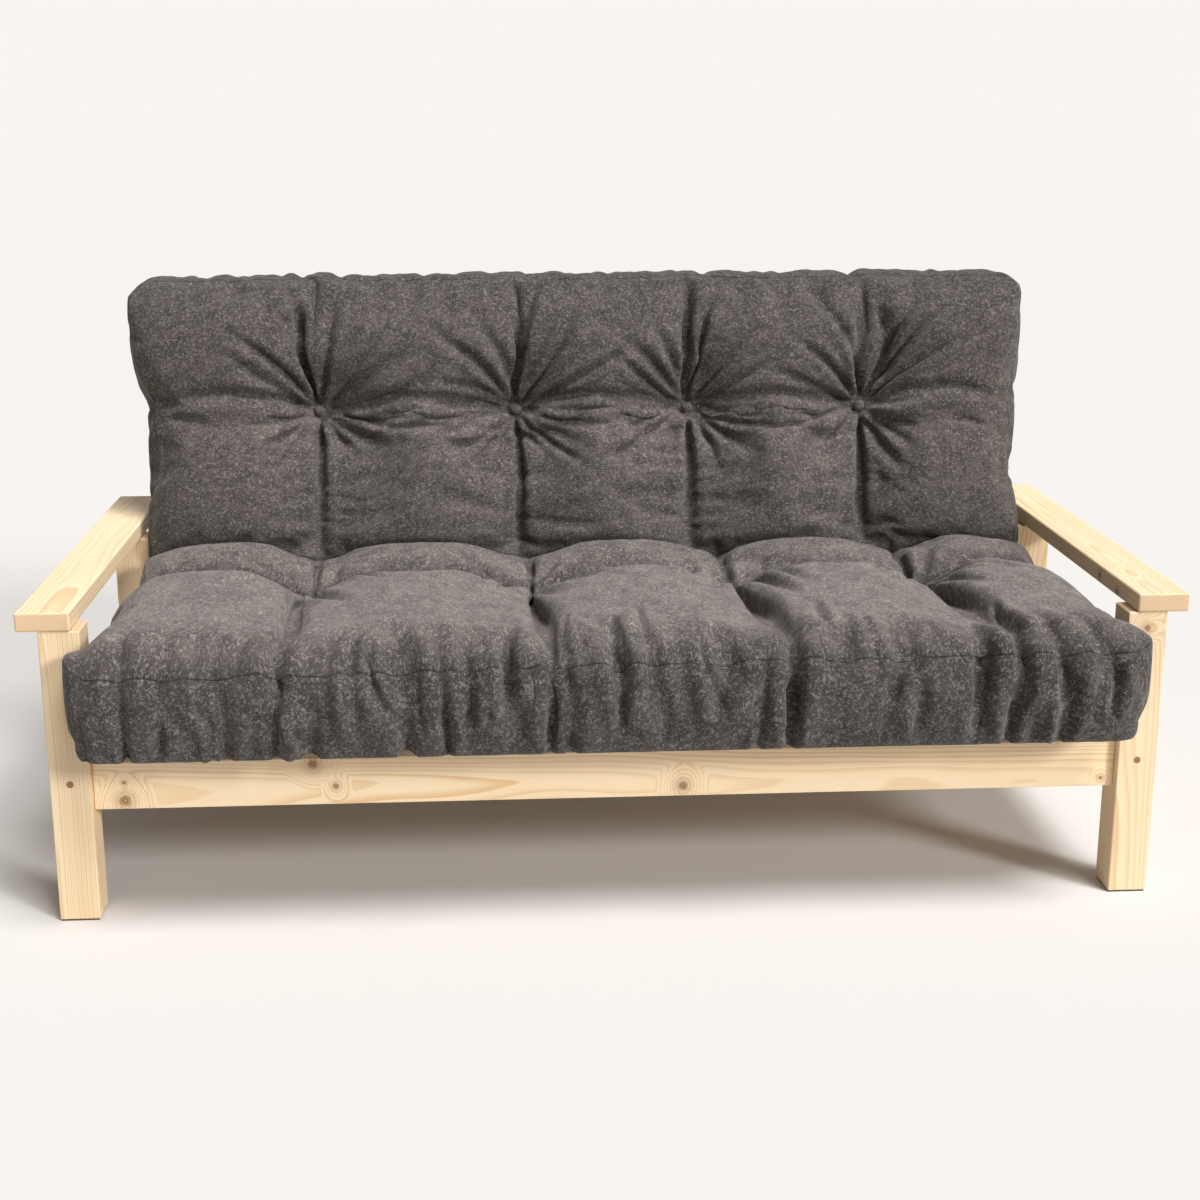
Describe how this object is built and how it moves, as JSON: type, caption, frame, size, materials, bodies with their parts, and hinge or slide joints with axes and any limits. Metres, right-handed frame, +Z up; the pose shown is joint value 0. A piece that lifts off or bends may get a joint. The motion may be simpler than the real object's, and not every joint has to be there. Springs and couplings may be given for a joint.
{
  "type": "futon sofa",
  "caption": "Futon sofa bed: open pine arm frame, slatted seat deck that slides forward, slatted back that folds flat, and a button-tufted dark grey mattress.",
  "frame": {"origin": "on the floor under the middle of the bounding box, with the seat pushed in and the back upright", "axes": "+X to the right as seen from the front, +Y to the back, +Z up"},
  "size_m": [2.1, 1.1182, 1.0905],
  "materials": {
    "pine": "satin",
    "pine_deck": "matte",
    "plug_wood": "matte",
    "dowel_wood": "matte",
    "charcoal_fabric": "matte",
    "wadding": "matte",
    "twine": "matte",
    "felt": "matte",
    "nylon": "satin",
    "zinc_steel": "satin"
  },
  "bodies": {
    "frame": {"arm_board_left": "pine", "arm_board_right": "pine", "barrel_nuts": "zinc_steel", "bolt_plugs": "plug_wood", "centre_rail": "pine", "deck_runner_left": "pine", "deck_runner_right": "pine", "foot_pads": "felt", "frame_bolts": "zinc_steel", "frame_dowels": "dowel_wood", "front_post_left": "pine", "front_post_right": "pine", "front_rail": "pine", "glide_strips": "nylon", "rear_post_left": "pine", "rear_post_right": "pine", "rear_rail": "pine", "runner_screws": "zinc_steel", "side_rail_left": "pine", "side_rail_right": "pine"},
    "seat_deck": {"centre_pivot_bolt": "zinc_steel", "centre_pivot_nut": "zinc_steel", "hinge_pins": "zinc_steel", "ratchet_wheels": "zinc_steel", "seat_bearer_centre": "pine_deck", "seat_bearer_left": "pine_deck", "seat_bearer_right": "pine_deck", "seat_hinge_leaf_left": "zinc_steel", "seat_hinge_leaf_right": "zinc_steel", "seat_mattress_core": "wadding", "seat_mattress_cover": "charcoal_fabric", "seat_screws": "zinc_steel", "seat_slat_1": "pine_deck", "seat_slat_2": "pine_deck", "seat_slat_3": "pine_deck", "seat_slat_4": "pine_deck", "seat_slat_5": "pine_deck", "seat_slat_6": "pine_deck", "seat_slat_7": "pine_deck", "seat_tuft_buttons": "charcoal_fabric", "seat_tuft_twine": "twine", "travel_stops": "pine_deck"},
    "back_deck": {"back_bearer_centre_left": "pine_deck", "back_bearer_centre_right": "pine_deck", "back_bearer_left": "pine_deck", "back_bearer_right": "pine_deck", "back_hinge_leaf_left": "zinc_steel", "back_hinge_leaf_right": "zinc_steel", "back_mattress_core": "wadding", "back_mattress_cover": "charcoal_fabric", "back_screws": "zinc_steel", "back_slat_1": "pine_deck", "back_slat_2": "pine_deck", "back_slat_3": "pine_deck", "back_slat_4": "pine_deck", "back_slat_5": "pine_deck", "back_slat_6": "pine_deck", "back_tuft_buttons": "charcoal_fabric", "back_tuft_twine": "twine", "ratchet_pawls": "zinc_steel"}
  },
  "joints": [
    {"name": "seat_slide", "type": "slide", "parent": "frame", "child": "seat_deck", "axis": [0, -1, 0], "range_m": [0, 0.45]},
    {"name": "back_recline", "type": "hinge", "parent": "seat_deck", "child": "back_deck", "pos_m": [0, 0.3925, 0.322], "axis": [-1, 0, 0], "range_deg": [0, 78]}
  ]
}
